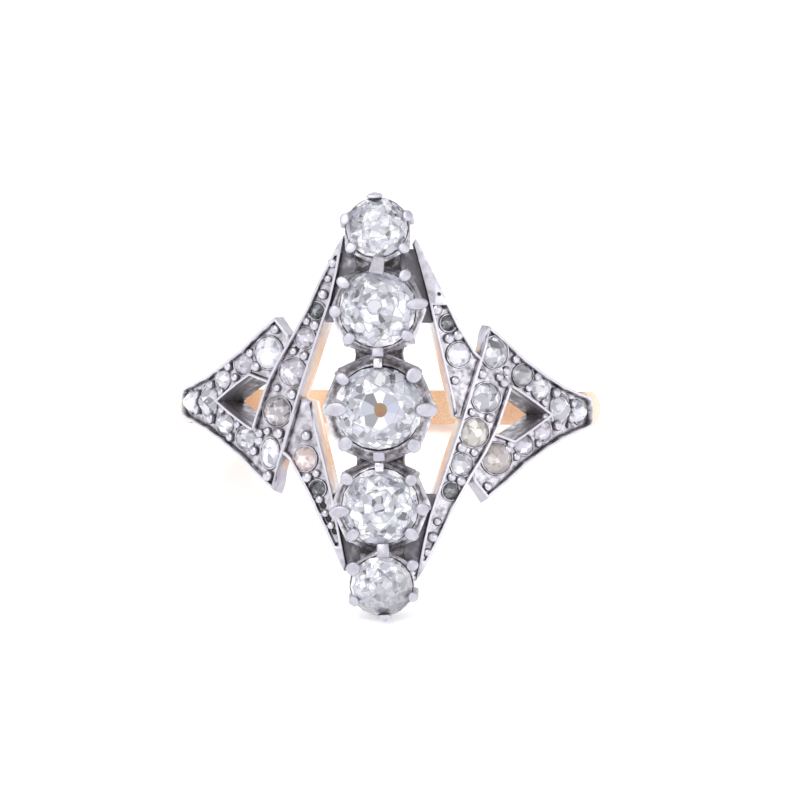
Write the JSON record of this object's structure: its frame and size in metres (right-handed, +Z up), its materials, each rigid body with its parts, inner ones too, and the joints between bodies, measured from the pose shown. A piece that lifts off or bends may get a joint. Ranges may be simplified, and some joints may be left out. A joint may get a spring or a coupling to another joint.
{
  "type": "diamond ring",
  "caption": "Lozenge-shaped dress ring: a row of old-cut diamonds in claw collets between crossing grain-set bars, with pierced shoulders on a narrow gold band.",
  "frame": {"origin": "centre of the bottom of the ring's box, on the surface that it lies on", "axes": "the ring lies on its side: the head faces -Y and leans back, the band reaches to +Y, +X is to the right seen from the front, +Z is up"},
  "size_m": [0.0204, 0.0235, 0.019],
  "materials": {
    "rose_gold": "polished rose gold with fine wear",
    "white_metal": "polished silver, darkly tarnished in its recesses",
    "main_stones": "clear old-cut diamond",
    "small_stones": "rose-cut diamond, some grey"
  },
  "bodies": {
    "root": {"shank": "rose_gold", "setting": "white_metal", "diamond_top_end": "main_stones", "diamond_upper": "main_stones", "diamond_centre": "main_stones", "diamond_lower": "main_stones", "diamond_bottom_end": "main_stones", "rose_left_1": "small_stones", "rose_left_2": "small_stones", "rose_left_3": "small_stones", "rose_left_4": "small_stones", "rose_left_5": "small_stones", "rose_left_6": "small_stones", "rose_left_7": "small_stones", "rose_left_8": "small_stones", "rose_left_9": "small_stones", "rose_left_10": "small_stones", "rose_left_11": "small_stones", "rose_left_12": "small_stones", "rose_left_13": "small_stones", "rose_left_14": "small_stones", "rose_right_1": "small_stones", "rose_right_2": "small_stones", "rose_right_3": "small_stones", "rose_right_4": "small_stones", "rose_right_5": "small_stones", "rose_right_6": "small_stones", "rose_right_7": "small_stones", "rose_right_8": "small_stones", "rose_right_9": "small_stones", "rose_right_10": "small_stones", "rose_right_11": "small_stones", "rose_right_12": "small_stones", "rose_right_13": "small_stones", "rose_right_14": "small_stones"}
  },
  "joints": []
}
